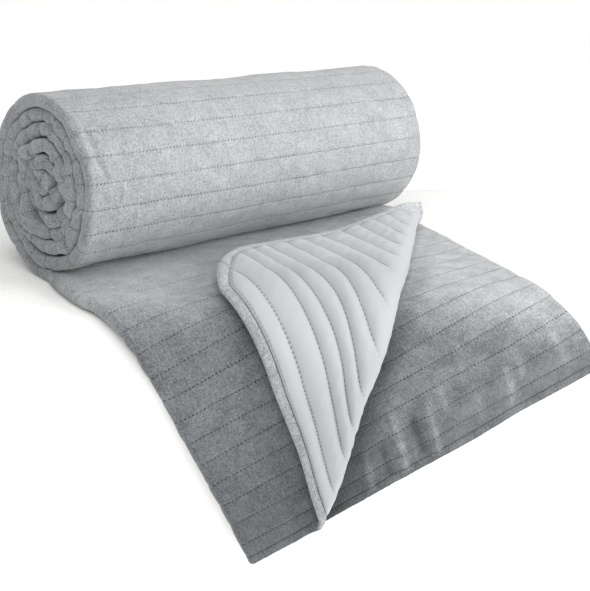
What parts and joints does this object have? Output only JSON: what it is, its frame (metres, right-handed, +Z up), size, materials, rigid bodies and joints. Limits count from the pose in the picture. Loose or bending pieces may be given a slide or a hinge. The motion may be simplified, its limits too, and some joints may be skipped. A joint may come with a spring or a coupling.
{
  "type": "quilted bedspread on a padded bench",
  "caption": "Channel-quilted velvet bedspread, folded lengthwise and rolled, its loose end hanging over the front of a padded bench with one corner turned back to show the lining.",
  "frame": {"origin": "middle of the bench's flat underside, on the floor", "axes": "+Z up; +X along the bench's front edge, to the right as seen from the front; the bedspread hangs over the front, which faces -Y"},
  "size_m": [0.92, 0.6747, 0.6277],
  "materials": {
    "bench_cover": "plain white woven cover, matt",
    "quilted_velvet": "grey short-pile velvet with a heathered nap, matt with a soft sheen",
    "lining": "pale cool grey satin weave, low sheen"
  },
  "bodies": {
    "root": {"padded_bench": "bench_cover", "quilted_panel": "quilted_velvet", "corner_lining": "lining"}
  },
  "joints": []
}
